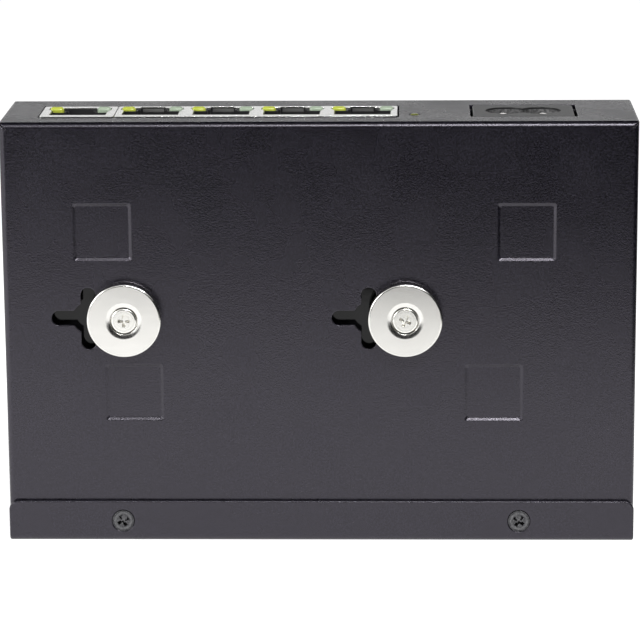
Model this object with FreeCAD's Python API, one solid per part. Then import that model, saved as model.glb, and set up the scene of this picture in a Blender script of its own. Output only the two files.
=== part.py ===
import FreeCAD, Part
import math
import os

# A five-port network switch with a built-in mains supply, in a housing of folded steel sheet.
# It stands on its rear wall with its sockets up and its underside towards -Y.
# X runs across it, Y from the bottom plate to the lid, Z from the rear wall to the port panel.
# The origin is the middle of the rear wall's outer face. All sizes are in millimetres.

Vector = FreeCAD.Vector

# Modelling aids
over = 1.0  # how far a cutter runs past what it cuts
near = 0.01  # how close counts as the same place
hair = 1e-4  # too small a length to matter

# Housing
width = 136.0
depth = 92.2
height = 29.0
sheet = 1.0
fold = 1.2  # outer radius of every fold
seam = 0.25  # open slit between two walls that meet at a corner
fit = 0.2  # clearance between the lid's inner walls and the tray's walls
lidWall = 7.0
lidNotch = 0.5  # clearance of the lid's front wall round what passes under it
rearGap = 0.4  # from the tray's rear edges to the rear wall
flange = 9.0  # how far the lid laps over the bottom plate
flangeCorner = 2.0
edgeEase = 0.2

# Underside
padSize = 12.5
padCorner = 0.5
padDepth = 0.4
padSlope = 0.55
padPlaces = [(-46.4, 68.5), (44.4, 68.4), (-40.1, 33.2), (37.5, 33.1)]
hangSpacing = 60.35  # between the two wall-hanging holes
hangFirst = -49.7
hangLevel = 49.65
hangRadius = 3.45
hangSlot = 3.3
hangSide = 8.0  # reach of the slot that points across
hangUp = 6.7
hangDown = 6.9
ventPitch = 8.0
ventCount = 5
ventWidth = 2.0
ventLength = 12.0
ventLevel = 43.0

# Screws, nuts and magnets
threadRadius = 1.5
threadFit = 0.05  # the screws' shanks are this much smaller than their threads' bores
clearanceHole = 1.7
crossHalf = 0.3  # half the width of a screw's cross at its face
crossDepth = 1.0
crossTaper = 0.45  # the cross's size at its foot, as a share of that at its face
flangeCrossTurns = [-28.0, 36.0]  # degrees, as the screws came to rest when tightened
magnetCrossTurns = [0.0, 23.0]
nutRadius = 3.2  # to a nut's six corners
nutHeight = 1.9
flangeScrewX = 43.1
flangeScrewInset = 4.5  # from the flange's edge
flatHeadRadius = 2.35
flatHeadFit = 0.2
flatHeadCross = 1.25
flangeScrewEnd = 1.0  # how far the flange screws stand out of their nuts
magnetRadius = 8.0
magnetThickness = 3.0
magnetEase = 0.5
magnetOffset = 7.8  # from the hanging hole's centre
dishRadius = 4.0
dishDepth = 1.6
dishEase = 0.3
dishFit = 0.3  # round the foot of the screw's head
panHeadRadius = 2.6
panHeadHeight = 1.5
panHeadEase = 0.5
panHeadCross = 1.3

# Board and what carries it
film = 0.4
filmMargin = 1.6
standoffHeight = 4.6
standoffRadius = 2.9  # to a standoff's six corners
holeFit = 0.1
board = 1.6
boardSide = 4.0  # from the board's edge to the tray's outer face
boardRear = 9.6
boardFront = 0.6  # between the board and the port panel
boardHoles = [(-60.0, 14.0), (60.0, 14.0), (-60.0, 53.5), (60.0, 62.0)]
boardScrewEnd = 0.6  # from the bottom plate to the board screws' tips
barrierLevel = 42.0
barrierWidth = 2.0
barrierLength = 26.0

# Sockets
jackProud = 0.15
jackHeight = 13.4
jackLength = 21.0
jackShield = 0.25
shieldRound = 0.5
shieldSkirt = 3.0  # the part of the shield that wraps under the socket's mouth
singleWidth = 15.9
singleX = -52.1
gangWidth = 60.7
gangX = -13.6
gangPorts = 4
portPitch = 15.24
mouthFloor = 2.2  # from the board to the plug's space
plugHalf = 5.95
plugHeight = 6.8
frameHalf = 6.1
stepHalf = 3.2
stepHeight = 1.4
latchHalf = 2.7
latchBand = 0.8  # the shield's strip beyond the latch's opening
tabHalf = 2.3  # the shield's tab, folded in at the latch's opening
tabLength = 1.1
tabFit = 0.05
cavityDepth = 14.0
lampHalf = 6.8
lampHeight = 2.5
lampX = 5.15
lampWidth = 3.0
lampThick = 2.1
lampEase = 0.35
lampProud = 0.45
lampLength = 4.0
singleRecess = 0.4  # from the shield to the moulding in front of the lamps
gangRecess = 0.1
lampFit = 0.02
contactCount = 8
contactPitch = 1.02
contactWidth = 0.4
contactThick = 0.3
contactRise = 1.7
contactMouth = 2.6
contactTip = 8.5
contactRoot = 12.5
cutoutSide = 0.4
cutoutBottom = 0.3
cutoutTop = 1.1

# Mains inlet
inletX = 43.9
inletWidth = 21.7
inletHeight = 15.1
inletLength = 23.0
inletCorner = 0.8
inletSideGap = 0.65
inletGap = 0.25
lobeRadius = 4.5
lobeOffset = 3.65
socketDepth = 12.0
pinRadius = 1.2
pinSpacing = 8.6
pinInset = 0.6
pinEase = 0.5
pinRoot = 4.0  # how deep each pin is held behind the socket

# Power lamp
powerX = 20.46
powerLift = 10.1
powerHole = 1.3
powerRadius = 0.95
powerLength = 9.0
powerProud = 0.2
powerEase = 0.5
holderHalf = 2.0

# Parts on the board
mouldRound = 0.5
chipX = -21.2
chipZ = 33.0
chipSize = 20.0
chipHeight = 1.6
sinkSize = 24.0
sinkBase = 2.0
sinkHeight = 9.0
finCount = 8
finThick = 1.1
moduleWidth = 12.4
moduleLength = 8.6
moduleHeight = 6.2
moduleZ = 62.0
moduleEase = 0.6
crystalX = -46.0
crystalZ = 33.0
crystalLength = 11.0
crystalWidth = 4.7
crystalHeight = 3.6
crystalRound = 2.2
transformerX = 34.0
transformerZ = 35.0
coreLength = 19.5
coreWidth = 15.5
coreHeight = 14.5
coreLeg = 4.5
coilFit = 0.3  # between the coil's former and the core's outer legs
coilFlange = 0.9
bulkX = 52.0
bulkZ = 30.0
bulkRadius = 6.25
bulkHeight = 16.0
bulkGroove = 0.5
bulkFoot = 1.8  # from the board to the groove
outputX = 17.5
outputPlaces = [24.0, 36.0, 48.0]
outputRadius = 4.0
outputHeight = 11.5
filmCapX = 58.0
filmCapZ = 50.0
filmCapLength = 13.0
filmCapWidth = 5.0
filmCapHeight = 11.0
chokeX = 44.0
chokeZ = 57.0
chokeRadius = 7.4
chokeHole = 2.6
chokeFoot = 1.0
chokeHeight = 5.6
fuseX = 31.0
fuseZ = 57.0
fuseRadius = 4.2
fuseHeight = 7.7
bridgeX = 50.0
bridgeZ = 15.5
bridgeLength = 8.4
bridgeWidth = 6.4
bridgeHeight = 3.2

# What follows from them
plateFace = -height / 2
boardFace = plateFace + sheet + standoffHeight + board  # the board's upper side
mouth = depth + jackProud
lidHalf = width / 2 - sheet - fit
lidFront = depth - sheet - fit
magnetPlaces = [hangFirst + magnetOffset, hangFirst + hangSpacing + magnetOffset]
flangeScrewZ = flange - flangeScrewInset
magnetScrewPlaces = [(x, hangLevel) for x in magnetPlaces]
flangeScrewPlaces = [(-flangeScrewX, flangeScrewZ), (flangeScrewX, flangeScrewZ)]
barrierX = (outputX + outputRadius + transformerX - coreLength / 2) / 2
lampLevel = boardFace + mouthFloor + plugHeight  # where the plug's space ends and the lamps begin


def placer(plane, level):
    """Return the function that puts a flat point (u, v) at a level on a named plane."""
    if plane == "XY":
        return lambda u, v: Vector(u, v, level)
    if plane == "XZ":
        return lambda u, v: Vector(u, level, v)
    return lambda u, v: Vector(level, u, v)


def outline(corners, plane, level):
    """Close a wire round corners (u, v, radius), with an arc at each that has a radius."""
    place = placer(plane, level)
    points = [Vector(u, v, 0) for u, v, radius in corners]
    joints = []
    for i in range(len(corners)):
        corner = points[i]
        radius = corners[i][2]
        if radius <= 0:
            joints.append((corner, None, corner))
            continue
        before = (points[i - 1] - corner).normalize()
        after = (points[(i + 1) % len(points)] - corner).normalize()
        middle = (before + after).normalize()
        half = before.getAngle(after) / 2
        centre = corner + middle * (radius / math.sin(half))
        reach = radius / math.tan(half)
        joints.append((corner + before * reach, centre - middle * radius, corner + after * reach))
    edges = []
    for i in range(len(joints)):
        start, bulge, end = joints[i]
        following = joints[(i + 1) % len(joints)][0]
        if bulge is not None:
            arc = Part.Arc(place(start.x, start.y), place(bulge.x, bulge.y), place(end.x, end.y))
            edges.append(arc.toShape())
        if end.distanceToPoint(following) > hair:
            edges.append(Part.makeLine(place(end.x, end.y), place(following.x, following.y)))
    return Part.Wire(edges)


def prism(corners, plane, start, length):
    """Extrude a rounded outline along the plane's own normal."""
    normal = {"XY": Vector(0, 0, 1), "XZ": Vector(0, 1, 0), "YZ": Vector(1, 0, 0)}[plane]
    return Part.Face(outline(corners, plane, start)).extrude(normal * length)


def rectangle(u, v, across, along, radius=0):
    """Give the corners of a rectangle about (u, v)."""
    a = across / 2
    b = along / 2
    return [(u - a, v - b, radius), (u + a, v - b, radius), (u + a, v + b, radius), (u - a, v + b, radius)]


def slot(u, v, across, along):
    """Give the corners of a slot with round ends that lies along its longer side."""
    return rectangle(u, v, across, along, min(across, along) / 2)


def block(x0, x1, y0, y1, z0, z1):
    return Part.makeBox(x1 - x0, y1 - y0, z1 - z0, Vector(x0, y0, z0))


def rod(radius, start, end, x, z):
    """A round bar along Y, from one level to another."""
    return Part.makeCylinder(radius, end - start, Vector(x, start, z), Vector(0, 1, 0))


def bar(radius, start, end, x, y):
    """A round bar along Z, from one level to another."""
    return Part.makeCylinder(radius, end - start, Vector(x, y, start), Vector(0, 0, 1))


def turned(profile, x, z):
    """Turn a closed profile (radius, y, corner radius) about the Y axis and move it to (x, z)."""
    face = Part.Face(outline(profile, "XY", 0))
    solid = face.revolve(Vector(0, 0, 0), Vector(0, 1, 0), 360)
    solid.translate(Vector(x, 0, z))
    return solid


def folded(path, plane, start, length):
    """Extrude a sheet whose outer side follows the path, with its thickness to the path's left."""
    points = [Vector(u, v, 0) for u, v in path]
    ways = [(points[i + 1] - points[i]).normalize() for i in range(len(points) - 1)]
    sides = [Vector(-way.y, way.x, 0) for way in ways]
    outer = [(path[0][0], path[0][1], 0)]
    inner = [points[0] + sides[0] * sheet]
    innerRound = [0]
    for i in range(1, len(points) - 1):
        turn = ways[i - 1].cross(ways[i]).z
        wide, narrow = (fold, fold - sheet) if turn > 0 else (fold - sheet, fold)
        outer.append((path[i][0], path[i][1], wide))
        inner.append(points[i] + (sides[i - 1] + sides[i]) * (sheet / (1 + sides[i - 1].dot(sides[i]))))
        innerRound.append(narrow)
    outer.append((path[-1][0], path[-1][1], 0))
    inner.append(points[-1] + sides[-1] * sheet)
    innerRound.append(0)
    back = [(p.x, p.y, r) for p, r in zip(inner, innerRound)][::-1]
    return prism(outer + back, plane, start, length)


def threeWalls(half, rear, front, wall):
    """A plate at Y 0 with walls folded up at both sides and at the front, slit at the corners."""
    mitre = fold + 2 * sheet
    across = folded([(-half, wall), (-half, 0), (half, 0), (half, wall)], "XY", rear, front - rear)
    along = folded([(wall, front), (0, front), (0, rear)], "YZ", -half, 2 * half)
    wedge = [
        (-half - over, front + over, 0),
        (half + over, front + over, 0),
        (half - mitre, front - mitre, 0),
        (-half + mitre, front - mitre, 0),
    ]
    corner = prism(wedge, "XZ", -over, wall + 2 * over)
    body = across.cut(corner).fuse(along.common(corner))
    reach = fold + seam
    thin = seam / math.sqrt(8)
    for side in (-1, 1):
        slit = [
            (side * (half + over) - thin, front + over + thin * side, 0),
            (side * (half + over) + thin, front + over - thin * side, 0),
            (side * (half - reach) + thin, front - reach - thin * side, 0),
            (side * (half - reach) - thin, front - reach + thin * side, 0),
        ]
        body = body.cut(prism(slit, "XZ", -over, wall + 2 * over))
    return body.removeSplitter()


def edgesWhere(solid, test):
    """Pick the edges whose middle passes a test."""
    return [edge for edge in solid.Edges if test(edge.CenterOfMass)]


def hangingHole(x):
    """The cutter of one wall-hanging hole: a round centre with three slots."""
    low = plateFace - over
    span = sheet + 2 * over
    half = hangSlot / 2
    side = slot(x - hangSide / 2, hangLevel, hangSide, hangSlot)
    middle = hangLevel + (hangUp - hangDown) / 2
    upright = slot(x, middle, hangSlot, hangUp + hangDown)
    side[1] = (x, hangLevel - half, 0)
    side[2] = (x, hangLevel + half, 0)
    cutter = rod(hangRadius, low, low + span, x, hangLevel)
    return cutter.fuse([prism(side, "XZ", low, span), prism(upright, "XZ", low, span)]).removeSplitter()


def pad(x, z, level, size, rise, corner):
    """A shallow square with sloping sides, from one level inwards."""
    inner = size - 2 * padSlope
    wide = outline(rectangle(x, z, size, size, corner), "XZ", level)
    narrow = outline(rectangle(x, z, inner, inner, corner), "XZ", level + rise)
    return Part.makeLoft([wide, narrow], True, True)


def jackCutout():
    """The cutter of the opening that both sockets share."""
    low = singleX - singleWidth / 2 - cutoutSide
    high = gangX + gangWidth / 2 + cutoutSide
    bottom = boardFace - cutoutBottom
    top = boardFace + jackHeight + cutoutTop
    return block(low, high, bottom, top, depth - 2 * sheet, depth + over)


def inletCutout():
    half = inletWidth / 2 + inletSideGap
    top = boardFace + inletHeight + inletGap
    return block(inletX - half, inletX + half, boardFace - inletGap, top, depth - 2 * sheet, depth + over)


def makeTray():
    """Bottom plate, port panel and side walls, folded from one sheet."""
    tray = threeWalls(width / 2, sheet + rearGap, depth, height)
    tray.translate(Vector(0, plateFace, 0))
    for x, z in padPlaces:
        tray = tray.fuse(pad(x, z, plateFace + sheet / 2, padSize + padSlope, sheet / 2 + padDepth, 0))
    tray = tray.removeSplitter()
    for x, z in padPlaces:
        tray = tray.cut(pad(x, z, plateFace, padSize, padDepth, padCorner))
    holes = [hangingHole(hangFirst), hangingHole(hangFirst + hangSpacing), jackCutout(), inletCutout()]
    holes.append(bar(powerHole, depth - 2 * sheet, depth + over, powerX, plateFace + powerLift))
    for x, z in magnetScrewPlaces + flangeScrewPlaces:
        holes.append(rod(clearanceHole, plateFace - over, plateFace + sheet + over, x, z))
    for i in range(ventCount):
        level = ventLevel + (i - (ventCount - 1) / 2) * ventPitch
        vent = slot(0, level, ventLength, ventWidth)
        for side in (-1, 1):
            wall = side * (width / 2 - sheet / 2)
            holes.append(prism(vent, "YZ", wall - sheet, 2 * sheet))
    return tray.cut(holes)


def makeLid():
    """Lid plate with inner walls, rear wall and the flange that laps over the bottom plate."""
    plate = threeWalls(lidHalf, fold, lidFront, lidWall)
    plate = plate.mirror(Vector(0, 0, 0), Vector(0, 1, 0))
    plate.translate(Vector(0, height / 2, 0))
    lapFace = plateFace - sheet
    path = [(lapFace, flange), (lapFace, 0), (height / 2, 0), (height / 2, fold)]
    rear = folded(path, "YZ", -width / 2, width)
    corners = edgesWhere(rear, lambda p: abs(p.z - flange) < near and abs(abs(p.x) - width / 2) < near)
    rear = rear.makeFillet(flangeCorner, corners)
    rim = edgesWhere(rear, lambda p: abs(p.y - lapFace) < near and p.z > 2 * fold)
    rear = rear.makeChamfer(edgeEase, rim)
    upper = flatHeadRadius + flatHeadFit
    bore = [
        (0, lapFace - over, 0),
        (upper, lapFace - over, 0),
        (upper, lapFace, 0),
        (clearanceHole, plateFace, 0),
        (clearanceHole, plateFace + over, 0),
        (0, plateFace + over, 0),
    ]
    relief = fold + sheet / 2  # the inner side walls stop short of the rear wall's fold
    wallFoot = height / 2 - lidWall - over
    wallTop = height / 2 - sheet
    for side in (-1, 1):
        rear = rear.cut(turned(bore, side * flangeScrewX, flangeScrewZ))
        low, high = sorted((side * (lidHalf - relief), side * (lidHalf + over)))
        plate = plate.cut(block(low, high, wallFoot, wallTop, 0, 2 * fold))
    return plate.cut(lidNotches()).fuse(rear).removeSplitter()


def lidNotches():
    """The cutters that clear the lid's front wall round the sockets and the inlet."""
    bodies = [
        (singleX - singleWidth / 2, gangX + gangWidth / 2, boardFace + jackHeight),
        (inletX - inletWidth / 2, inletX + inletWidth / 2, boardFace + inletHeight),
    ]
    cutters = []
    for left, right, top in bodies:
        roof = top + lidNotch
        rear = lidFront - 2 * fold
        cutters.append(block(left - lidNotch, right + lidNotch, plateFace, roof, rear, depth))
    return cutters


def threadedHex(x, z, radius, high):
    """A six-sided piece of a given height that stands on the bottom plate and holds a screw."""
    low = plateFace + sheet
    sides = []
    for i in range(6):
        turn = math.radians(60 * i)
        sides.append((x + radius * math.cos(turn), z + radius * math.sin(turn), 0))
    return prism(sides, "XZ", low, high).cut(rod(threadRadius, low, low + high, x, z))


def crossRecess(x, z, face, reach, turn):
    """The cutter of a cross slot in a screw's head, widest at its face and turned by some degrees."""
    wings = []
    for across, along in ((reach, crossHalf), (crossHalf, reach)):
        top = outline(rectangle(x, z, 2 * across, 2 * along), "XZ", face - hair)
        foot = rectangle(x, z, 2 * across * crossTaper, 2 * along * crossTaper)
        wings.append(Part.makeLoft([top, outline(foot, "XZ", face + crossDepth)], True, True))
    cross = wings[0].fuse(wings[1])
    cross.rotate(Vector(x, 0, z), Vector(0, 1, 0), turn)
    return cross


def makeFlangeScrew(x, turn):
    """A countersunk screw, flush with the flange."""
    face = plateFace - sheet
    shank = threadRadius - threadFit
    tip = plateFace + sheet + nutHeight + flangeScrewEnd
    depthOfHead = sheet * (flatHeadRadius - shank) / (flatHeadRadius + flatHeadFit - clearanceHole)
    profile = [
        (0, face, 0),
        (flatHeadRadius, face, 0),
        (shank, face + depthOfHead, 0),
        (shank, tip, 0),
        (0, tip, 0),
    ]
    return turned(profile, x, flangeScrewZ).cut(crossRecess(x, flangeScrewZ, face, flatHeadCross, turn))


def makeMagnet(x):
    """A plated ring magnet with a dished middle round its screw."""
    face = plateFace - magnetThickness
    seat = face + dishDepth
    profile = [
        (clearanceHole, plateFace, 0),
        (magnetRadius, plateFace, 0),
        (magnetRadius, face + magnetEase, 0),
        (magnetRadius - magnetEase, face, 0),
        (dishRadius + dishEase, face, 0),
        (dishRadius - dishEase, face + dishEase, 0),
        (panHeadRadius + dishFit, seat, 0),
        (clearanceHole, seat, 0),
    ]
    return turned(profile, x, hangLevel)


def makeMagnetScrew(x, turn):
    """A pan-head screw, seated in the magnet's dish."""
    seat = plateFace - magnetThickness + dishDepth
    face = seat - panHeadHeight
    shank = threadRadius - threadFit
    tip = plateFace + sheet + nutHeight
    profile = [
        (0, face, 0),
        (panHeadRadius - panHeadEase, face, 0),
        (panHeadRadius, face + panHeadEase, 0),
        (panHeadRadius, seat, 0),
        (shank, seat, 0),
        (shank, tip, 0),
        (0, tip, 0),
    ]
    return turned(profile, x, hangLevel).cut(crossRecess(x, hangLevel, face, panHeadCross, turn))


def makeBoardScrew(x, z):
    face = boardFace + panHeadHeight
    shank = threadRadius - threadFit
    tip = plateFace + sheet + boardScrewEnd
    profile = [
        (0, tip, 0),
        (shank, tip, 0),
        (shank, boardFace, 0),
        (panHeadRadius, boardFace, 0),
        (panHeadRadius, face, 0),
        (0, face, 0),
    ]
    return turned(profile, x, z)


def makeFilm():
    """The insulating film under the board, laid over the standoffs and on the magnets' nuts."""
    low = plateFace + sheet + nutHeight
    rear = flangeScrewZ + nutRadius + filmMargin
    front = depth - sheet - filmMargin
    half = width / 2 - sheet - filmMargin
    sides = rectangle(0, (rear + front) / 2, 2 * half, front - rear)
    holes = [rod(standoffRadius + holeFit, low - over, low + film + over, x, z) for x, z in boardHoles]
    return prism(sides, "XZ", low, film).cut(holes)


def makeBoard():
    """The circuit board, with a slot between its mains side and its low-voltage side."""
    low = boardFace - board
    front = depth - sheet - boardFront
    across = width - 2 * boardSide
    sides = rectangle(0, (boardRear + front) / 2, across, front - boardRear)
    holes = [rod(clearanceHole, low - over, boardFace + over, x, z) for x, z in boardHoles]
    barrier = slot(barrierX, barrierLevel, barrierWidth, barrierLength)
    holes.append(prism(barrier, "XZ", low - over, board + 2 * over))
    return prism(sides, "XZ", low, board).cut(holes)


def portCentres(middle, count):
    return [middle + (i - (count - 1) / 2) * portPitch for i in range(count)]


def mirrored(corners, x):
    """Complete an outline from its right half, given as (offset, y, radius) from the bottom up."""
    right = [(x + u, y, r) for u, y, r in corners]
    left = [(x - u, y, r) for u, y, r in corners]
    return right + left[::-1]


def latchRoof(latchOpen):
    """The far side of the latch's channel: near the shield's far side, or the lamps' upper edge."""
    if latchOpen:
        return boardFace + jackHeight - latchBand
    return lampLevel + lampHeight


def shieldMouth(x, latchOpen):
    """The cutter of one port's opening in the shield's front."""
    top = lampLevel + lampHeight
    half = [
        (frameHalf, boardFace + mouthFloor, 0),
        (frameHalf, lampLevel, 0),
        (lampHalf, lampLevel, 0),
        (lampHalf, top, 0),
    ]
    if latchOpen:
        half += [(latchHalf, top, 0), (latchHalf, latchRoof(True), 0)]
    return prism(mirrored(half, x), "XY", mouth - 2 * jackShield, 4 * jackShield)


def makeShield(middle, wide, count, latchOpen):
    """A socket's folded metal shield, open under the board side behind its mouth."""
    rear = mouth - jackLength
    centre = boardFace + jackHeight / 2
    outside = rectangle(middle, centre, wide, jackHeight, shieldRound)
    inWide = wide - 2 * jackShield
    inHigh = jackHeight - 2 * jackShield
    inside = rectangle(middle, centre, inWide, inHigh, shieldRound - jackShield)
    shell = prism(outside, "XY", rear, jackLength)
    shell = shell.cut(prism(inside, "XY", rear + jackShield, jackLength - 2 * jackShield))
    left = middle - inWide / 2
    right = middle + inWide / 2
    under = block(left, right, boardFace - over, centre, rear + jackShield, mouth - shieldSkirt)
    mouths = [shieldMouth(x, latchOpen) for x in portCentres(middle, count)]
    shell = shell.cut([under] + mouths)
    if latchOpen:
        shell = shell.fuse([latchTab(x, 0) for x in portCentres(middle, count)]).removeSplitter()
    return shell


def latchTab(x, grow):
    """The shield's tab at one latch opening, folded into the port, grown all round."""
    half = tabHalf + grow
    low = latchRoof(True) - grow
    return block(x - half, x + half, low, low + jackShield + 2 * grow, mouth - tabLength - grow, mouth)


def plugCavity(x, latchOpen):
    """The cutter of one port: the plug's space and the latch's channel in two steps."""
    step = lampLevel + stepHeight
    half = [
        (plugHalf, boardFace + mouthFloor, 0),
        (plugHalf, lampLevel, 0),
        (stepHalf, lampLevel, 0),
        (stepHalf, step, 0),
        (latchHalf, step, 0),
        (latchHalf, latchRoof(latchOpen), 0),
    ]
    return prism(mirrored(half, x), "XY", mouth - cavityDepth, cavityDepth + over)


def lampOutline(x, side, grow):
    """The section of one lamp beside the latch's channel, grown all round."""
    level = lampLevel + lampHeight / 2
    return rectangle(x + side * lampX, level, lampWidth + 2 * grow, lampThick + 2 * grow)


def makeHousing(middle, wide, count, latchOpen, recess):
    """A socket's moulded body, inside its shield."""
    rear = mouth - jackLength + jackShield
    front = mouth - jackShield
    top = boardFace + jackHeight - jackShield
    foot = boardFace + jackShield
    inWide = wide - 2 * jackShield
    left = middle - inWide / 2
    outside = rectangle(middle, (foot + top) / 2, inWide, top - foot, shieldRound - jackShield)
    body = prism(outside, "XY", rear, front - rear)
    body = body.fuse(block(left, left + inWide, boardFace, foot + over, rear, mouth - shieldSkirt))
    cutters = []
    for x in portCentres(middle, count):
        cutters.append(plugCavity(x, latchOpen))
        shelf = rectangle(x, lampLevel + lampHeight / 2, 2 * lampHalf, lampHeight)
        cutters.append(prism(shelf, "XY", front - recess, recess + over))
        if latchOpen:
            cutters.append(latchTab(x, tabFit))
        for side in (-1, 1):
            cutters.append(prism(lampOutline(x, side, lampFit), "XY", front - lampLength, lampLength))
    return body.cut(cutters).removeSplitter()


def makeContacts(middle, count):
    """Eight sprung wires a port, from the floor of the port back up into the plug's space."""
    floor = boardFace + mouthFloor
    wires = []
    for x in portCentres(middle, count):
        for i in range(contactCount):
            left = x + (i - (contactCount - 1) / 2) * contactPitch - contactWidth / 2
            wires.append(contactWire(floor, left))
    return wires


def contactWire(floor, left):
    """One contact: a flat run on the floor, a fold near the mouth and a rising tongue."""
    turnZ = mouth - contactMouth
    tipZ = mouth - contactTip
    rootZ = mouth - contactRoot
    rise = floor + contactRise
    slope = math.atan2(contactRise - contactThick, contactTip - contactMouth)
    inside = turnZ - contactThick / math.tan(slope / 2)
    corners = [
        (floor, rootZ, 0),
        (floor, turnZ, 0),
        (rise, tipZ, 0),
        (rise - contactThick / math.cos(slope), tipZ, 0),
        (floor + contactThick, inside, 0),
        (floor + contactThick, rootZ, 0),
    ]
    return prism(corners, "YZ", left, contactWidth)


def makeLamp(x, side):
    """One lamp of a port, with an eased front end."""
    front = mouth - jackShield
    tip = mouth + lampProud
    lamp = prism(lampOutline(x, side, 0), "XY", front - lampLength, tip - front + lampLength)
    rim = edgesWhere(lamp, lambda p: p.z > tip - near)
    return lamp.makeChamfer(lampEase, rim)


def inletBar(side, radius, offset, start, end):
    """A round bar along one half of the inlet, at an offset from its middle."""
    return bar(radius, start, end, inletX + side * offset, boardFace + inletHeight / 2)


def makeInlet():
    """The mains inlet's moulded body, with its figure-eight socket."""
    level = boardFace + inletHeight / 2
    outside = rectangle(inletX, level, inletWidth, inletHeight, inletCorner)
    body = prism(outside, "XY", depth - inletLength, inletLength)
    body = body.makeChamfer(edgeEase, edgesWhere(body, lambda p: p.z > depth - near))
    foot = depth - socketDepth
    cutters = []
    for side in (-1, 1):
        cutters.append(inletBar(side, lobeRadius, lobeOffset, foot, depth + over))
        cutters.append(inletBar(side, pinRadius, pinSpacing / 2, foot - pinRoot, foot + over))
    return body.cut(cutters)


def makePin(side):
    """One round pin of the inlet, with an eased tip."""
    tip = depth - pinInset
    pin = inletBar(side, pinRadius, pinSpacing / 2, depth - socketDepth - pinRoot, tip)
    return pin.makeChamfer(pinEase, edgesWhere(pin, lambda p: p.z > tip - near))


def makePowerLamp():
    """The power lamp's round body with an eased tip."""
    tip = depth + powerProud
    lamp = bar(powerRadius, tip - powerLength, tip, powerX, plateFace + powerLift)
    return lamp.makeChamfer(powerEase, edgesWhere(lamp, lambda p: p.z > tip - near))


def makePowerHolder():
    """The block that holds the power lamp on the board."""
    level = plateFace + powerLift
    high = level + holderHalf
    rear = depth + powerProud - powerLength
    front = depth - 2 * sheet
    body = block(powerX - holderHalf, powerX + holderHalf, boardFace, high, rear, front)
    return body.cut(bar(powerRadius, rear, front, powerX, level))


def onBoard(x, z, across, along, high, corner=mouldRound):
    """A moulded block that stands on the board."""
    return prism(rectangle(x, z, across, along, corner), "XZ", boardFace, high)


def makeHeatSink():
    """A finned block on the switch chip."""
    low = boardFace + chipHeight
    half = sinkSize / 2
    pitch = (sinkSize - finThick) / (finCount - 1)
    corners = [(chipX - half, low, 0), (chipX + half, low, 0)]
    for i in range(finCount):
        right = chipX + half - i * pitch
        corners.append((right, low + sinkHeight, 0))
        corners.append((right - finThick, low + sinkHeight, 0))
        if i < finCount - 1:
            corners.append((right - finThick, low + sinkBase, 0))
            corners.append((right - pitch, low + sinkBase, 0))
    return prism(corners, "XY", chipZ - half, sinkSize)


def makeModule(x):
    """The line transformer of one port, a moulded block with an eased top."""
    module = onBoard(x, moduleZ, moduleWidth, moduleLength, moduleHeight, 0)
    rim = edgesWhere(module, lambda p: p.y > boardFace + moduleHeight - near)
    return module.makeChamfer(moduleEase, rim)


def makeCan(x, z, radius, high):
    """An upright round part, such as a capacitor or a fuse."""
    return rod(radius, boardFace, boardFace + high, x, z)


def makeBulkCapacitor():
    """The mains capacitor's can, with the rolled groove near its foot."""
    groove = boardFace + bulkFoot
    profile = [
        (0, boardFace, 0),
        (bulkRadius, boardFace, 0),
        (bulkRadius, groove - bulkGroove, 0),
        (bulkRadius - bulkGroove, groove, 0),
        (bulkRadius, groove + bulkGroove, 0),
        (bulkRadius, boardFace + bulkHeight, 0),
        (0, boardFace + bulkHeight, 0),
    ]
    return turned(profile, bulkX, bulkZ)


def makeCore():
    """The transformer's ferrite core: a frame with a round middle leg."""
    frame = onBoard(transformerX, transformerZ, coreLength, coreWidth / 3, coreHeight)
    inner = rectangle(transformerX, boardFace + coreHeight / 2, coreLength - coreLeg, coreHeight - coreLeg)
    window = prism(inner, "XY", transformerZ - coreWidth, 2 * coreWidth)
    low = boardFace + coreLeg / 2
    leg = rod(coreLeg / 2, low, low + coreHeight - coreLeg, transformerX, transformerZ)
    return frame.cut(window).fuse(leg).removeSplitter()


def makeWinding():
    """The transformer's taped coil round the core's middle leg."""
    low = boardFace + coreLeg / 2
    high = boardFace + coreHeight - coreLeg / 2
    outer = (coreLength - coreLeg) / 2 - coilFit
    coil = outer - coilFlange
    profile = [
        (coreLeg / 2, low, 0),
        (outer, low, 0),
        (outer, low + coilFlange, 0),
        (coil, low + coilFlange, 0),
        (coil, high - coilFlange, 0),
        (outer, high - coilFlange, 0),
        (outer, high, 0),
        (coreLeg / 2, high, 0),
    ]
    return turned(profile, transformerX, transformerZ)


def makeChoke():
    """The mains filter's ring core, potted on its round foot."""
    foot = boardFace + chokeFoot
    high = foot + chokeHeight
    profile = [
        (0, boardFace, 0),
        (chokeRadius, boardFace, 0),
        (chokeRadius, foot, 0),
        (chokeRadius - chokeFoot, foot, 0),
        (chokeRadius, foot + chokeFoot, 0),
        (chokeRadius, high - chokeFoot, 0),
        (chokeRadius - chokeFoot, high, 0),
        (chokeHole, high, 0),
        (chokeHole, foot, 0),
        (0, foot, 0),
    ]
    return turned(profile, chokeX, chokeZ)


def writeNode(name, solids):
    """Write one sub-part, as one solid or as a set of like solids."""
    shape = solids[0] if len(solids) == 1 else Part.makeCompound(solids)
    shape.exportStep("parts/" + name + ".step")
    print(name, len(shape.Solids), "solids, valid", shape.isValid(), "volume", round(shape.Volume, 2))


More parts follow.
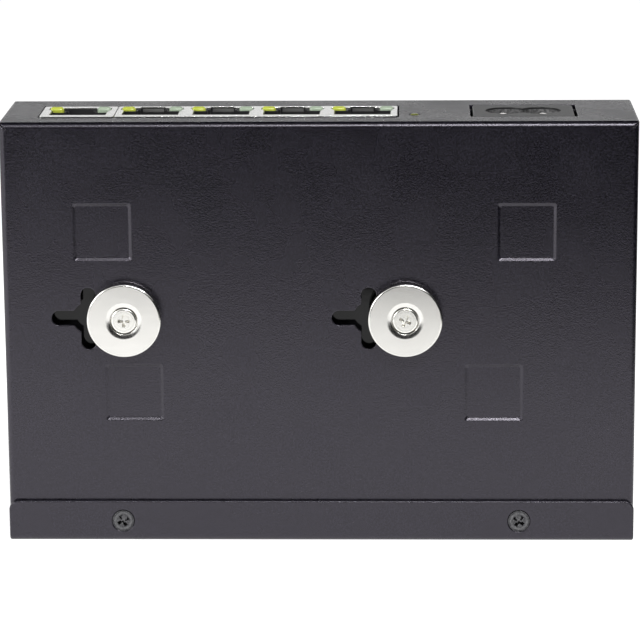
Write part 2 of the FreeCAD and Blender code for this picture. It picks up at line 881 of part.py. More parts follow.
def writeHousing():
    writeNode("base_tray", [makeTray()])
    writeNode("lid", [makeLid()])
    writeNode("insulating_film", [makeFilm()])
    standoffs = [threadedHex(x, z, standoffRadius, standoffHeight) for x, z in boardHoles]
    writeNode("standoffs", standoffs)
    writeNode("board_screws", [makeBoardScrew(x, z) for x, z in boardHoles])
    nutPlaces = {"flange_nuts": flangeScrewPlaces, "magnet_nuts": magnetScrewPlaces}
    for name, places in nutPlaces.items():
        writeNode(name, [threadedHex(x, z, nutRadius, nutHeight) for x, z in places])
    turns = zip((-flangeScrewX, flangeScrewX), flangeCrossTurns)
    writeNode("flange_screws", [makeFlangeScrew(x, turn) for x, turn in turns])
    writeNode("magnet_screws", [makeMagnetScrew(x, turn) for x, turn in zip(magnetPlaces, magnetCrossTurns)])
    for name, x in zip(("magnet_left", "magnet_right"), magnetPlaces):
        writeNode(name, [makeMagnet(x)])


def writeSockets():
    kinds = [
        ("single", singleX, singleWidth, 1, False, singleRecess),
        ("gang", gangX, gangWidth, gangPorts, True, gangRecess),
    ]
    port = 0
    for name, middle, wide, count, latchOpen, recess in kinds:
        writeNode(name + "_jack_shield", [makeShield(middle, wide, count, latchOpen)])
        writeNode(name + "_jack_housing", [makeHousing(middle, wide, count, latchOpen, recess)])
        writeNode(name + "_jack_contacts", makeContacts(middle, count))
        for x in portCentres(middle, count):
            port += 1
            writeNode("link_lamp_" + str(port), [makeLamp(x, -1)])
            writeNode("speed_lamp_" + str(port), [makeLamp(x, 1)])
            writeNode("line_module_" + str(port), [makeModule(x)])
    writeNode("inlet_body", [makeInlet()])
    writeNode("inlet_pins", [makePin(side) for side in (-1, 1)])
    writeNode("power_lamp", [makePowerLamp()])
    writeNode("power_lamp_holder", [makePowerHolder()])


def writeBoardParts():
    writeNode("main_board", [makeBoard()])
    writeNode("switch_chip", [onBoard(chipX, chipZ, chipSize, chipSize, chipHeight, 0)])
    writeNode("heat_sink", [makeHeatSink()])
    crystal = onBoard(crystalX, crystalZ, crystalWidth, crystalLength, crystalHeight, crystalRound)
    writeNode("crystal", [crystal])
    writeNode("transformer_core", [makeCore()])
    writeNode("transformer_winding", [makeWinding()])
    writeNode("bulk_capacitor", [makeBulkCapacitor()])
    writeNode("output_capacitors", [makeCan(outputX, z, outputRadius, outputHeight) for z in outputPlaces])
    filmCap = onBoard(filmCapX, filmCapZ, filmCapWidth, filmCapLength, filmCapHeight, 0)
    writeNode("film_capacitor", [filmCap])
    writeNode("mains_choke", [makeChoke()])
    writeNode("fuse", [makeCan(fuseX, fuseZ, fuseRadius, fuseHeight)])
    bridge = onBoard(bridgeX, bridgeZ, bridgeLength, bridgeWidth, bridgeHeight, 0)
    writeNode("bridge_rectifier", [bridge])


os.makedirs("parts", exist_ok=True)
writeHousing()
writeSockets()
writeBoardParts()
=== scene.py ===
# A five-port network switch in a folded black steel housing, stood on its rear wall, underside to the front
import math
import bmesh
import bpy
from mathutils import Matrix, Vector


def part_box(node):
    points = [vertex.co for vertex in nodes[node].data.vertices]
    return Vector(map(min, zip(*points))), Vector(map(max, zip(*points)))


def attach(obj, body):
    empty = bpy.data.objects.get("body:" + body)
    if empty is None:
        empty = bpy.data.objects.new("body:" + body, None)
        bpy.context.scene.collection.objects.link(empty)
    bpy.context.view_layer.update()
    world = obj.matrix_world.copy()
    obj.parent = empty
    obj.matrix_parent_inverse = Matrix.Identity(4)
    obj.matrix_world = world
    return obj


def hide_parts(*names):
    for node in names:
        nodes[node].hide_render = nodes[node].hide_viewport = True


bpy.ops.wm.read_factory_settings(use_empty=True)
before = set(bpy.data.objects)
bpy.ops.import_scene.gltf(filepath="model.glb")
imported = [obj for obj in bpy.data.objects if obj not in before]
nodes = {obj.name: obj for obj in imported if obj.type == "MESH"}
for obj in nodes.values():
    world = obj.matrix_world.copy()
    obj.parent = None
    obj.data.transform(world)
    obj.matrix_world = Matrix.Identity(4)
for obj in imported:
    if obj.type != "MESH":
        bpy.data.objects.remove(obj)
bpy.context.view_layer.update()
mm = 0.001
ports = range(1, 6)
noiseMiddle = 0.5  # every noise swings about this value
print("frame loaded:", len(nodes), "nodes")


def middle(node):
    low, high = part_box(node)
    return (low + high) / 2


def extent(node):
    low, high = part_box(node)
    return high - low


class Shade:
    # one socket of a node tree; arithmetic on it adds Math nodes
    def __init__(self, finish, socket):
        self.finish = finish
        self.socket = socket

    def calc(self, operation, *values):
        return self.finish.add("ShaderNodeMath", {"operation": operation}, dict(enumerate(values)))

    def __add__(self, other):
        return self.calc("ADD", self, other)

    def __sub__(self, other):
        return self.calc("SUBTRACT", self, other)

    def __mul__(self, other):
        return self.calc("MULTIPLY", self, other)

    def __truediv__(self, other):
        return self.calc("DIVIDE", self, other)

    def __abs__(self):
        return self.calc("ABSOLUTE", self)

    def above(self, limit):
        return self.calc("GREATER_THAN", self, limit)

    def below(self, limit):
        return self.calc("LESS_THAN", self, limit)

    def wrapped(self):
        return self.calc("FRACT", self)

    def clamped(self):
        return self.calc("MINIMUM", self.calc("MAXIMUM", self, 0.0), 1.0)

    def swing(self, amount):
        # a noise's rise and fall, scaled to this amount
        return (self - noiseMiddle) * amount

    def steeper(self, contrast):
        return (self.swing(contrast) + noiseMiddle).clamped()

    def mixed(self, other, share):
        # a share of the other value, the rest from this one
        return self * (1 - share) + other * share

    def between(self, first, second):
        # the first value where this is 0, the second where it is 1
        return self * (second - first) + first


class Finish:
    # a material, or the world, and the nodes in it
    def __init__(self, name, owner=None):
        self.owner = owner or bpy.data.materials.new(name)
        self.owner.use_nodes = True
        self.tree = self.owner.node_tree
        self.tree.nodes.clear()

    def add(self, kind, settings=None, inputs=None, output=0):
        # a new node; an input takes a value, or a link from a Shade
        node = self.tree.nodes.new(kind)
        for name, value in (settings or {}).items():
            if name == "stops":
                ramp = node.color_ramp
                while len(ramp.elements) < len(value):
                    ramp.elements.new(0.5)
                for element, (place, colour) in zip(ramp.elements, value):
                    element.position = place
                    element.color = (*colour, 1)
            else:
                setattr(node, name, value)
        for name, value in (inputs or {}).items():
            socket = node.inputs[name]
            if isinstance(value, Shade):
                self.tree.links.new(value.socket, socket)
            elif socket.type == "RGBA":
                socket.default_value = (*value, 1)
            else:
                socket.default_value = value
        return Shade(self, node.outputs[output])

    def place(self, centre=(0, 0, 0), stretch=(1, 1, 1)):
        # object coordinates about a centre, stretched along the axes
        spot = self.add("ShaderNodeTexCoord", output="Object")
        shifted = self.add("ShaderNodeVectorMath", {"operation": "SUBTRACT"}, {0: spot, 1: centre})
        return self.add("ShaderNodeVectorMath", {"operation": "MULTIPLY"}, {0: shifted, 1: stretch})

    def axis(self, name):
        return self.add("ShaderNodeSeparateXYZ", {}, {0: self.place()}, name)

    def distance(self, centre):
        # how far a point lies from a line along Y
        flat = self.place(centre, (1, 0, 1))
        return self.add("ShaderNodeVectorMath", {"operation": "LENGTH"}, {0: flat}, "Value")

    def noise(self, scale, detail=2.0, roughness=0.5, vector=None):
        inputs = {"Scale": scale, "Detail": detail, "Roughness": roughness, "Vector": vector or self.place()}
        return self.add("ShaderNodeTexNoise", {}, inputs, "Fac")

    def grain(self, scale):
        # a noise with crisp small grains
        return self.noise(scale, detail=3.0, roughness=0.6)

    def lines(self, along, scale, detail=2.0):
        # uneven lines across one value, such as turning marks
        inputs = {"W": along, "Scale": scale, "Detail": detail}
        return self.add("ShaderNodeTexNoise", {"noise_dimensions": "1D"}, inputs, "Fac")

    def ramp(self, value, *stops):
        return self.add("ShaderNodeValToRGB", {"stops": stops}, {"Fac": value}, "Color")

    def blend(self, mask, first, second):
        return self.add("ShaderNodeMix", {"data_type": "RGBA"}, {0: mask, 6: first, 7: second}, 2)

    def bump(self, height, distance, normal=None):
        inputs = {"Height": height, "Distance": distance}
        if normal:
            inputs["Normal"] = normal
        return self.add("ShaderNodeBump", {}, inputs)

    def softEdges(self, radius):
        return self.add("ShaderNodeBevel", {"samples": 6}, {"Radius": radius})

    def surface(self, **sockets):
        # keyword names are the shader's sockets, with _ for a space
        names = {name.replace("_", " "): value for name, value in sockets.items()}
        self.end(self.add("ShaderNodeBsdfPrincipled", {}, names))
        return self.owner

    def end(self, shader, kind="ShaderNodeOutputMaterial"):
        self.tree.links.new(shader.socket, self.tree.nodes.new(kind).inputs["Surface"])


def dress(finish, *members):
    for member in members:
        for slot in nodes[member].material_slots:
            slot.material = finish


# housing: fine-textured black powder coat with a trace of violet
paint = {"dark": (0.0006, 0.0005, 0.0012), "light": (0.0118, 0.0109, 0.0172), "shine": (0.93, 0.88, 1.0),
         "grain": 2700, "peel": 700, "cloud": 90, "peelShare": 0.25, "grainHeight": 0.045 * mm, "edge": 0.3 * mm,
         "grainContrast": 4.5, "cloudContrast": 0.3, "level": 0.36, "roughness": 0.27, "uneven": 0.1, "ior": 1.62}


def powderCoat():
    f = Finish("powder coat")
    grain = f.grain(paint["grain"])
    peel = f.noise(paint["peel"])
    cloud = f.noise(paint["cloud"])
    relief = grain.mixed(peel, paint["peelShare"])
    speck = grain.swing(paint["grainContrast"]) + cloud.swing(paint["cloudContrast"]) + paint["level"]
    return f.surface(Base_Color=f.blend(speck.clamped(), paint["dark"], paint["light"]),
                     Roughness=cloud.swing(paint["uneven"]) + paint["roughness"],
                     IOR=paint["ior"], Specular_Tint=paint["shine"],
                     Normal=f.bump(relief, paint["grainHeight"], f.softEdges(paint["edge"])))


dress(powderCoat(), "base_tray", "lid")
print("housing painted")


# what the plain metals and plastics share
even = {"broader": 12, "darker": 0.86, "uneven": 0.1}


def evenFinish(name, colour, roughness, metallic=0.0, grain=1500, height=0.004 * mm, edge=0.08 * mm, **more):
    # metal or plastic that a fine and a broad noise make a little uneven
    f = Finish(name)
    fine = f.grain(grain)
    broad = f.noise(grain / even["broader"])
    darker = tuple(part * even["darker"] for part in colour)
    return f.surface(Base_Color=f.blend(broad, darker, colour), Metallic=metallic,
                     Roughness=broad.swing(even["uneven"]) + roughness,
                     Normal=f.bump(fine, height, f.softEdges(edge)), **more)


# the sockets' shields, rougher where the sheet is folded into a port, and darkened there with painted shade
tin = {"bright": (0.93, 0.93, 0.91), "dull": (0.82, 0.82, 0.8), "folded": (0.26, 0.26, 0.255), "mouth": 0.35 * mm,
       "roll": 2200, "rollStretch": (0.04, 1, 1), "rollHeight": 0.002 * mm, "stain": 420, "edge": 0.12 * mm,
       "roughness": 0.15, "foldedRoughness": 0.5, "rollRoughness": 0.06}


def tinnedSheet(member):
    # rolled sheet, with faint lines along the row of ports
    f = Finish("tinned shield")
    # painted shade: below the port's mouth the shield's colour turns dark, as shade inside the port; the same mask
    # makes it rougher
    folded = f.axis("Z").below(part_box(member)[1].z - tin["mouth"])
    rolled = f.noise(tin["roll"], vector=f.place(stretch=tin["rollStretch"]))
    stain = f.noise(tin["stain"], detail=3.0)
    flat = f.blend(stain, tin["dull"], tin["bright"])
    roughness = folded.between(tin["roughness"], tin["foldedRoughness"]) + rolled * tin["rollRoughness"]
    return f.surface(Base_Color=f.blend(folded, flat, tin["folded"]), Metallic=1.0, Roughness=roughness,
                     Normal=f.bump(rolled, tin["rollHeight"], f.softEdges(tin["edge"])))


# black mouldings: smooth on the inlet's face, spark-eroded inside its socket, where painted light makes it paler
moulding = {"colour": (0.018, 0.018, 0.019), "roughness": 0.34, "ior": 1.55, "grain": 900,
            "grainHeight": 0.008 * mm, "inside": (0.17, 0.168, 0.17), "insideRoughness": 0.5, "mouth": 0.4 * mm,
            "erosion": 1700, "contrast": 2.5, "faceHeight": 0.006 * mm, "insideHeight": 0.026 * mm,
            "edge": 0.12 * mm}


def inletMoulding():
    f = Finish("inlet moulding")
    inside = f.axis("Z").below(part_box("inlet_body")[1].z - moulding["mouth"])
    eroded = f.noise(moulding["erosion"]).steeper(moulding["contrast"])
    # painted light: the socket's inside takes a pale colour, speckled by the erosion noise, standing in for its
    # lit inner walls
    speckledPaintedLight = f.blend(eroded, moulding["colour"], moulding["inside"])
    height = inside.between(moulding["faceHeight"], moulding["insideHeight"])
    return f.surface(Base_Color=f.blend(inside, moulding["colour"], speckledPaintedLight), IOR=moulding["ior"],
                     Roughness=inside.between(moulding["roughness"], moulding["insideRoughness"]),
                     Normal=f.bump(eroded, height, f.softEdges(moulding["edge"])))


for shield in ("single_jack_shield", "gang_jack_shield"):
    dress(tinnedSheet(shield), shield)
dress(evenFinish("black moulding", colour=moulding["colour"], roughness=moulding["roughness"],
                 grain=moulding["grain"], height=moulding["grainHeight"], IOR=moulding["ior"]),
      "single_jack_housing", "gang_jack_housing", "power_lamp_holder")
dress(inletMoulding(), "inlet_body")
dress(evenFinish("gold contacts", colour=(0.9, 0.66, 0.26), roughness=0.22, metallic=1.0),
      "single_jack_contacts", "gang_jack_contacts")
dress(evenFinish("zinc plate", colour=(0.62, 0.63, 0.64), roughness=0.34, metallic=1.0, grain=700),
      "standoffs", "board_screws", "flange_nuts", "magnet_nuts")
dress(evenFinish("nickel pins", colour=(0.9, 0.88, 0.84), roughness=0.12, metallic=1.0), "inlet_pins")
dress(evenFinish("film", colour=(0.004, 0.004, 0.0045), roughness=0.09, grain=160, height=0.02 * mm, IOR=1.34),
      "insulating_film")
print("sockets finished")


# the board: green mask with copper tracks raised under it
board = {"mask": (0.012, 0.075, 0.03), "copper": (0.022, 0.13, 0.055), "pitch": 0.9 * mm, "halfTrack": 0.2,
         "bends": 60, "patches": 45, "bare": 0.42, "height": 0.03 * mm, "edge": 0.05 * mm, "roughness": 0.3,
         "copperRoughness": 0.38}


def solderMask():
    f = Finish("solder mask")
    across = f.axis("X") / board["pitch"]
    along = f.axis("Z") / board["pitch"]
    turned = f.noise(board["bends"], detail=1.0).above(noiseMiddle)
    fromTrack = abs(turned.between(along, across).wrapped() - 0.5)
    track = fromTrack.below(board["halfTrack"]) * f.noise(board["patches"]).above(board["bare"])
    return f.surface(Base_Color=f.blend(track, board["mask"], board["copper"]),
                     Roughness=track.between(board["roughness"], board["copperRoughness"]),
                     Normal=f.bump(track, board["height"], f.softEdges(board["edge"])))


# the heat sink: an extrusion, with its lines along Z
sink = {"colour": (0.52, 0.53, 0.55), "lines": 3500, "height": 0.006 * mm, "edge": 0.1 * mm, "roughness": 0.4,
        "uneven": 0.2}


def extrudedSink():
    f = Finish("heat sink")
    drawn = f.lines(f.axis("X"), sink["lines"])
    return f.surface(Base_Color=sink["colour"], Metallic=1.0,
                     Roughness=drawn.swing(sink["uneven"]) + sink["roughness"],
                     Normal=f.bump(drawn, sink["height"], f.softEdges(sink["edge"])))


# the cores: grey-black ferrite with small pores
ferrite = {"pore": (0.012, 0.012, 0.013), "body": (0.045, 0.044, 0.046), "pores": 2600, "contrast": 3,
           "height": 0.01 * mm, "edge": 0.15 * mm, "poreRoughness": 0.6, "roughness": 0.5}


def pressedFerrite():
    f = Finish("ferrite")
    pores = f.add("ShaderNodeTexVoronoi", {}, {"Scale": ferrite["pores"], "Vector": f.place()}, "Distance")
    body = (pores * ferrite["contrast"]).clamped()
    return f.surface(Base_Color=f.blend(body, ferrite["pore"], ferrite["body"]),
                     Roughness=body.between(ferrite["poreRoughness"], ferrite["roughness"]),
                     Normal=f.bump(body, ferrite["height"], f.softEdges(ferrite["edge"])))


# the transformer's winding: glossy yellow tape in overlapping turns
tape = {"width": 1.8 * mm, "lap": (0.42, 0.27, 0.02), "crown": (0.62, 0.43, 0.04), "fall": (0.55, 0.37, 0.03),
        "lapEnd": 0.08, "creases": 500, "creaseShare": 0.4, "height": 0.05 * mm, "roughness": 0.22,
        "creasedRoughness": 0.37}


def woundTape():
    f = Finish("coil tape")
    step = (f.axis("Y") / tape["width"]).wrapped()
    crease = f.noise(tape["creases"], detail=3.0)
    colour = f.ramp(step, (0.0, tape["lap"]), (tape["lapEnd"], tape["crown"]), (1.0, tape["fall"]))
    return f.surface(Base_Color=colour, Roughness=crease.between(tape["roughness"], tape["creasedRoughness"]),
                     Normal=f.bump(step.mixed(crease, tape["creaseShare"]), tape["height"]))


# the capacitors: a shrunk sleeve with the can's bare end showing at its top
can = {"bare": (0.78, 0.78, 0.78), "rim": 0.35 * mm, "wrinkles": 700, "height": 0.01 * mm, "edge": 0.3 * mm,
       "roughness": 0.28, "bareRoughness": 0.38, "uneven": 0.08}


def sleevedCan(name, sleeve, member):
    f = Finish(name)
    bare = f.axis("Y").above(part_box(member)[1].y - can["rim"])
    wrinkle = f.noise(can["wrinkles"])
    roughness = bare.between(can["roughness"], can["bareRoughness"]) + wrinkle.swing(can["uneven"])
    return f.surface(Base_Color=f.blend(bare, sleeve, can["bare"]), Metallic=bare, Roughness=roughness,
                     Normal=f.bump(wrinkle, can["height"], f.softEdges(can["edge"])))


dress(solderMask(), "main_board")
dress(extrudedSink(), "heat_sink")
dress(pressedFerrite(), "transformer_core", "mains_choke")
dress(woundTape(), "transformer_winding")
dress(sleevedCan("dark sleeve", (0.01, 0.012, 0.03), "bulk_capacitor"), "bulk_capacitor")
dress(sleevedCan("blue sleeve", (0.01, 0.03, 0.09), "output_capacitors"), "output_capacitors")
dress(evenFinish("crystal can", colour=(0.78, 0.78, 0.77), roughness=0.24, metallic=1.0, edge=0.4 * mm), "crystal")
dress(evenFinish("film case", colour=(0.5, 0.33, 0.03), roughness=0.32, edge=0.3 * mm), "film_capacitor")
dress(evenFinish("fuse body", colour=(0.028, 0.024, 0.022), roughness=0.35, edge=0.4 * mm), "fuse")
dress(evenFinish("chip moulding", colour=(0.02, 0.02, 0.021), roughness=0.5, grain=2400, height=0.01 * mm),
      "switch_chip", "bridge_rectifier", *("line_module_%d" % port for port in ports))
print("board finished")


def meshOf(name, bm):
    mesh = bpy.data.meshes.new(name)
    bm.to_mesh(mesh)
    bm.free()
    return mesh


def linked(name, data):
    thing = bpy.data.objects.new(name, data)
    bpy.context.collection.objects.link(thing)
    return thing


def addPiece(name, bm, finish, node):
    # an object of a finished bmesh, in place of a CAD node
    piece = linked(name, meshOf(name, bm))
    piece.data.materials.append(finish)
    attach(piece, "root")
    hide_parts(node)
    return piece


def smoothed(piece, angle=32):
    # smooth shading over the bevels; faces square to an axis stay flat
    square = 0.9999
    piece.data.set_sharp_from_angle(angle=math.radians(angle))
    for side in piece.data.polygons:
        side.use_smooth = max(abs(part) for part in side.normal) < square


def spun(profile, steps):
    # turn an open profile of (radius, y) about the Y axis
    bm = bmesh.new()
    verts = [bm.verts.new((radius, y, 0)) for radius, y in profile]
    for first, second in zip(verts, verts[1:]):
        bm.edges.new((first, second))
    bmesh.ops.spin(bm, geom=bm.verts[:] + bm.edges[:], cent=(0, 0, 0), axis=(0, 1, 0), dvec=(0, 0, 0),
                   angle=math.tau, steps=steps, use_merge=True, use_duplicate=False)
    bmesh.ops.remove_doubles(bm, verts=bm.verts, dist=1e-7)
    bmesh.ops.recalc_face_normals(bm, faces=bm.faces)
    return bm


def rounded(bm, edges, size, steps):
    bmesh.ops.bevel(bm, geom=edges, offset=size, segments=steps, profile=0.5, affect="EDGES", material=-1)


def roundRing(bm, radius, y, size, steps):
    # round the ring of edges at one radius and level
    near = 1e-6
    ring = [edge for edge in bm.edges
            if all(abs(math.hypot(v.co.x, v.co.z) - radius) < near and abs(v.co.y - y) < near for v in edge.verts)]
    rounded(bm, ring, size, steps)


# the plated ring magnets, with a soft lip round the dish; a rounding has its size and steps
ringMagnet = {"bore": 1.7 * mm, "lip": 3.7 * mm, "throat": 3.0 * mm, "slope": 0.2 * mm, "foot": 2.93 * mm,
              "seat": 1.6 * mm, "steps": 128, "rimRound": (0.42 * mm, 6), "backRound": (0.15 * mm, 2),
              "lipRound": (0.3 * mm, 6), "throatRound": (0.08 * mm, 4)}
plating = {"bright": (0.79, 0.778, 0.748), "dull": (0.73, 0.718, 0.686), "turning": 9000, "cloud": 260,
           "brushed": 900, "brushedStretch": (0.15, 1, 1), "brushedShade": 0.4, "brushedRelief": 0.5,
           "height": 0.0012 * mm, "roughness": 0.2, "uneven": 0.08}


def turnedNickel(name, centre):
    f = Finish(name)
    turning = f.lines(f.distance(centre), plating["turning"], detail=3.0)
    cloud = f.noise(plating["cloud"], detail=3.0)
    brushed = f.noise(plating["brushed"], vector=f.place(stretch=plating["brushedStretch"]))
    tone = cloud.mixed(brushed, plating["brushedShade"]).clamped()
    return f.surface(Base_Color=f.blend(tone, plating["dull"], plating["bright"]), Metallic=1.0,
                     Roughness=brushed.swing(plating["uneven"]) + plating["roughness"],
                     Normal=f.bump(turning.mixed(brushed, plating["brushedRelief"]), plating["height"]))


def makeMagnet(name, node):
    centre = middle(node)
    outer = extent(node).x / 2
    face, back = (corner.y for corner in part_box(node))
    bore, lip, throat = ringMagnet["bore"], ringMagnet["lip"], ringMagnet["throat"]
    seat = face + ringMagnet["seat"]
    slope = face + ringMagnet["slope"]
    bm = spun([(bore, seat), (bore, back), (outer, back), (outer, face), (lip, face), (throat, slope),
               (ringMagnet["foot"], seat), (bore, seat)], ringMagnet["steps"])
    roundRing(bm, outer, face, *ringMagnet["rimRound"])
    roundRing(bm, outer, back, *ringMagnet["backRound"])
    roundRing(bm, lip, face, *ringMagnet["lipRound"])
    roundRing(bm, throat, slope, *ringMagnet["throatRound"])
    bmesh.ops.translate(bm, vec=(centre.x, 0, centre.z), verts=bm.verts)
    smoothed(addPiece(name, bm, turnedNickel(name, centre), node))


makeMagnet("ringMagnetLeft", "magnet_left")
makeMagnet("ringMagnetRight", "magnet_right")
print("magnets made")


# the screws, each with its cross turned as it was tightened; half and cone are the cross's sizes at the face
panScrew = {"head": 2.75 * mm, "height": 1.5 * mm, "round": (0.36 * mm, 5), "shank": 1.45 * mm, "sunk": False,
            "turns": (0, -23), "half": 0.34 * mm, "cone": 0.5 * mm, "bright": (0.88, 0.87, 0.83),
            "dull": (0.74, 0.73, 0.69), "roughness": 0.2, "relief": 0.003 * mm}
flatScrew = {"head": 2.36 * mm, "height": 0.95 * mm, "round": (0.07 * mm, 5), "shank": 1.45 * mm, "sunk": True,
             "turns": (28, -36), "half": 0.36 * mm, "cone": 0.62 * mm, "bright": (0.19, 0.19, 0.195),
             "dull": (0.02, 0.02, 0.023), "roughness": 0.26, "relief": 0.02 * mm}
screwSteps = 64
cross = {"reach": 1.3 * mm, "deep": 1.1 * mm, "taper": 0.6, "steps": 24, "tip": 0.02 * mm}
wear = {"turning": 2600, "marks": 2600, "marksShare": 0.4, "contrast": 3, "uneven": 0.16, "edge": 0.05 * mm}


def crossCutter(size, face, turn):
    # two tapered bars and a cone, as far out of the head's face as into it
    bm = bmesh.new()
    depth = 2 * cross["deep"]
    for quarter in (0, 90):
        bar = bmesh.ops.create_cube(bm, size=1)["verts"]
        bmesh.ops.scale(bm, vec=(2 * cross["reach"], depth, 2 * size["half"]), verts=bar)
        foot = [v for v in bar if v.co.y > 0]
        top = [v for v in bar if v not in foot]
        for ends, taper in ((foot, cross["taper"]), (top, 2 - cross["taper"])):
            bmesh.ops.scale(bm, vec=(taper, 1, taper), verts=ends)
        bmesh.ops.rotate(bm, matrix=Matrix.Rotation(math.radians(quarter), 3, "Y"), verts=bar)
    cone = bmesh.ops.create_cone(bm, cap_ends=True, segments=cross["steps"], radius1=2 * size["cone"],
                                 radius2=cross["tip"], depth=depth)["verts"]
    bmesh.ops.rotate(bm, matrix=Matrix.Rotation(math.radians(-90), 3, "X"), verts=cone)
    bmesh.ops.rotate(bm, matrix=Matrix.Rotation(math.radians(-turn), 3, "Y"), verts=bm.verts)
    bmesh.ops.translate(bm, vec=(0, face, 0), verts=bm.verts)
    bmesh.ops.recalc_face_normals(bm, faces=bm.faces)
    return bm


def joined(bm, part, x, z):
    # add one part to a bmesh, at its own place
    bmesh.ops.translate(part, vec=(x, 0, z), verts=part.verts)
    mesh = meshOf("part", part)
    bm.from_mesh(mesh)
    bpy.data.meshes.remove(mesh)


def carve(piece, bm):
    # cut a shape out of a piece and settle the result into its mesh
    cutter = linked("cutter", meshOf("cutter", bm))
    cut = piece.modifiers.new("cut", "BOOLEAN")
    cut.object = cutter
    cut.solver = "EXACT"
    cut.use_self = True
    finish = piece.data.materials[0]
    piece.data = bpy.data.meshes.new_from_object(piece.evaluated_get(bpy.context.evaluated_depsgraph_get()))
    piece.data.materials.clear()
    piece.data.materials.append(finish)
    piece.modifiers.clear()
    bpy.data.objects.remove(cutter)


def screwMetal(name, size, places):
    # turning rings about the nearer screw's middle, with a fine unevenness
    f = Finish(name)
    first, second = (f.distance((x, 0, z)) for x, z in places)
    turning = f.lines(first.calc("MINIMUM", first, second), wear["turning"])
    marks = f.grain(wear["marks"])
    worn = turning.mixed(marks, wear["marksShare"]).steeper(wear["contrast"])
    return f.surface(Base_Color=f.blend(worn, size["dull"], size["bright"]), Metallic=1.0,
                     Roughness=marks.swing(wear["uneven"]) + size["roughness"],
                     Normal=f.bump(worn, size["relief"], f.softEdges(wear["edge"])))


def makeScrews(name, node, size, places, finish):
    # both screws of a kind as one piece; a sunk head tapers to its shank
    face, tip = (corner.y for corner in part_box(node))
    head, shank = size["head"], size["shank"]
    neck = face + size["height"]
    under = [(shank, neck)] if size["sunk"] else [(head, neck), (shank, neck)]
    profile = [(0, face), (head, face)] + under + [(shank, tip), (0, tip)]
    pair = bmesh.new()
    crosses = bmesh.new()
    for (x, z), turn in zip(places, size["turns"]):
        screw = spun(profile, screwSteps)
        roundRing(screw, head, face, *size["round"])
        joined(pair, screw, x, z)
        joined(crosses, crossCutter(size, face, turn), x, z)
    piece = addPiece(name, pair, finish, node)
    carve(piece, crosses)
    smoothed(piece)


magnetPlaces = [(middle(node).x, middle(node).z) for node in ("magnet_left", "magnet_right")]
screwsLow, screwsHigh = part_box("flange_screws")
flangeHead = (screwsHigh.z - screwsLow.z) / 2
flangePlaces = [(x, screwsLow.z + flangeHead) for x in (screwsLow.x + flangeHead, screwsHigh.x - flangeHead)]
makeScrews("magnetScrewPair", "magnet_screws", panScrew, magnetPlaces,
           screwMetal("nickel screw", panScrew, magnetPlaces))
makeScrews("flangeScrewPair", "flange_screws", flatScrew, flangePlaces,
           screwMetal("black screw", flatScrew, flangePlaces))
print("screws made")


# the ports' lamps, the round-edged ends of tinted light guides, and the power lamp's small domed pin
guide = {"round": (0.68 * mm, 5), "yellow": (0.5, 0.55, 0.08), "yellowDeep": (0.36, 0.41, 0.04),
         "green": (0.36, 0.43, 0.33), "greenDeep": (0.27, 0.34, 0.25)}
pilot = {"steps": 32, "dome": (0.5 * mm, 5), "colour": (0.17, 0.18, 0.05), "deep": (0.1, 0.11, 0.03)}
resin = {"flow": 800, "height": 0.01 * mm, "roughness": 0.16, "flowRoughness": 0.26, "ior": 1.49, "scatter": 0.3,
         "reach": 0.6 * mm}
lampAngle = 40  # an edge sharper than this keeps its crease


def tintedResin(name, colour, deep):
    f = Finish(name)
    flow = f.noise(resin["flow"])
    return f.surface(Base_Color=f.blend(flow, deep, colour), IOR=resin["ior"],
                     Roughness=flow.between(resin["roughness"], resin["flowRoughness"]),
                     Subsurface_Weight=resin["scatter"], Subsurface_Radius=(1, 1, 1),
                     Subsurface_Scale=resin["reach"], Normal=f.bump(flow, resin["height"]))


def makeGuide(name, node, finish):
    bm = bmesh.new()
    bmesh.ops.create_cube(bm, size=1)
    bmesh.ops.scale(bm, vec=extent(node), verts=bm.verts)
    tipEdges = [edge for edge in bm.edges if max(v.co.z for v in edge.verts) > 0]
    rounded(bm, tipEdges, *guide["round"])
    bmesh.ops.translate(bm, vec=middle(node), verts=bm.verts)
    smoothed(addPiece(name, bm, finish, node), lampAngle)


def makePilot():
    # spun about Y, then stood up along Z in the panel's round hole
    low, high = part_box("power_lamp")
    centre = middle("power_lamp")
    radius = (high.x - low.x) / 2
    bm = spun([(0, low.z), (radius, low.z), (radius, high.z), (0, high.z)], pilot["steps"])
    roundRing(bm, radius, high.z, *pilot["dome"])
    bmesh.ops.rotate(bm, matrix=Matrix.Rotation(math.radians(90), 3, "X"), verts=bm.verts)
    bmesh.ops.translate(bm, vec=(centre.x, centre.y, 0), verts=bm.verts)
    lens = tintedResin("pilot lens", pilot["colour"], pilot["deep"])
    smoothed(addPiece("pilotLamp", bm, lens, "power_lamp"), lampAngle)


yellowGuide = tintedResin("yellow guide", guide["yellow"], guide["yellowDeep"])
greenGuide = tintedResin("green guide", guide["green"], guide["greenDeep"])
for port in ports:
    makeGuide("linkGuide%d" % port, "link_lamp_%d" % port, yellowGuide)
    makeGuide("speedGuide%d" % port, "speed_lamp_%d" % port, greenGuide)
makePilot()
print("lamps made")


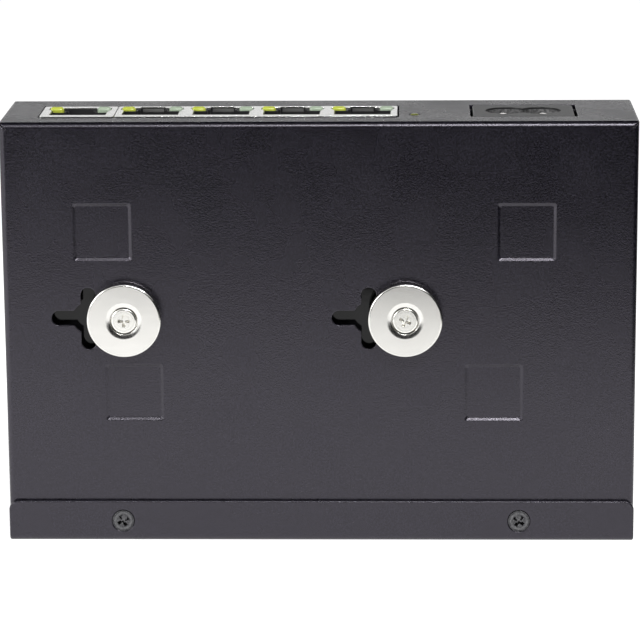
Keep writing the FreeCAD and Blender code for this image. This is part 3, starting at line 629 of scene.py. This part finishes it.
# pale floor, soft light and the dark cards that the housing and the plating mirror
studio = {"floorSize": 3.0, "floorColour": 0.8, "floorGlow": 0.68, "mirroredGlow": 0.55, "worldFill": 0.26,
          "cardColour": 0.01, "aim": (0, 0, 46 * mm)}
cards = {
    "frontCard": {"at": (0.464, -0.102, 0.11), "size": (1.4, 0.22), "tilt": 90, "turn": 19},
    "sideCard": {"at": (0.19, -0.06, 0.1), "size": (0.3, 0.2), "tilt": 90, "turn": 78},
    "topCard": {"at": (0, 1.625, 0.9), "size": (2.4, 3.95), "tilt": 0, "turn": 0},
}
softboxes = {
    "keyLight": {"at": (0.27, -0.62, 0.85), "size": (0.72, 0.12), "power": 10.5},
    "leftLight": {"at": (-0.42, -0.24, 0.24), "size": (0.2, 0.24), "power": 1.25},
}
camera = {"tilt": 13.2, "yaw": -1.68, "roll": -0.42, "distance": 684.9 * mm, "aside": -0.29 * mm, "up": -0.17 * mm,
          "lens": 175.4, "sensor": 36.0, "near": 10 * mm}


def grey(level):
    return (level, level, level)


def addStage(name, size, place, finish):
    bm = bmesh.new()
    bmesh.ops.create_grid(bm, x_segments=1, y_segments=1, size=0.5)
    bmesh.ops.scale(bm, vec=(*size, 1), verts=bm.verts)
    bmesh.ops.transform(bm, matrix=place, verts=bm.verts)
    sheet = linked(name, meshOf(name, bm))
    sheet.data.materials.append(finish)
    return sheet


def seenRays(f, mirrored=1.0):
    # 1 for what the camera or glass sees, a share of it for a mirror, 0 for light on the scene
    path = f.tree.nodes.new("ShaderNodeLightPath")
    kinds = ("Camera", "Glossy", "Transmission")
    direct, glossy, through = (Shade(f, path.outputs["Is %s Ray" % kind]) for kind in kinds)
    return (direct + glossy * mirrored + through).clamped()


def makeFloor():
    f = Finish("floor")
    matt = f.add("ShaderNodeBsdfDiffuse", {}, {"Color": grey(studio["floorColour"])})
    strength = seenRays(f, studio["mirroredGlow"]) * studio["floorGlow"]
    glow = f.add("ShaderNodeEmission", {}, {"Color": grey(1), "Strength": strength})
    f.end(f.add("ShaderNodeAddShader", {}, {0: matt, 1: glow}))
    addStage("floor", (studio["floorSize"], studio["floorSize"]), Matrix.Identity(4), f.owner)


def makeCard(name, at, size, tilt, turn):
    # a dark card that only mirrored rays meet
    f = Finish(name)
    f.end(f.add("ShaderNodeBsdfDiffuse", {}, {"Color": grey(studio["cardColour"])}))
    turned = Matrix.Rotation(math.radians(turn), 4, "Z") @ Matrix.Rotation(math.radians(tilt), 4, "X")
    card = addStage(name, size, Matrix.Translation(at) @ turned, f.owner)
    card.visible_camera = card.visible_diffuse = card.visible_shadow = False


def makeWorld():
    world = bpy.data.worlds.new("studio")
    bpy.context.scene.world = world
    f = Finish("studio", world)
    strength = seenRays(f).between(studio["worldFill"], 1)
    f.end(f.add("ShaderNodeBackground", {}, {"Color": grey(1), "Strength": strength}), "ShaderNodeOutputWorld")


def makeSoftbox(name, at, size, power):
    light = bpy.data.lights.new(name, "AREA")
    light.shape = "RECTANGLE"
    light.size, light.size_y = size
    light.energy = power
    holder = linked(name, light)
    holder.location = at
    holder.rotation_euler = (Vector(studio["aim"]) - Vector(at)).to_track_quat("-Z", "Y").to_euler()
    holder.visible_camera = False


def makeCamera():
    tilt, yaw, roll = (math.radians(camera[key]) for key in ("tilt", "yaw", "roll"))
    level = math.pi / 2 - tilt
    turn = Matrix.Rotation(-yaw, 3, "Z") @ Matrix.Rotation(level, 3, "X") @ Matrix.Rotation(roll, 3, "Z")
    eye = bpy.data.cameras.new("camera")
    eye.sensor_width = camera["sensor"]
    eye.lens = camera["lens"]
    eye.clip_start = camera["near"]
    holder = linked("camera", eye)
    place = Vector(studio["aim"]) + turn @ Vector((camera["aside"], camera["up"], camera["distance"]))
    holder.matrix_world = Matrix.LocRotScale(place, turn.to_quaternion(), None)
    bpy.context.scene.camera = holder


makeFloor()
for name, card in cards.items():
    makeCard(name, **card)
makeWorld()
for name, box in softboxes.items():
    makeSoftbox(name, **box)
makeCamera()
bpy.context.scene.view_settings.view_transform = "Standard"
print("studio set")
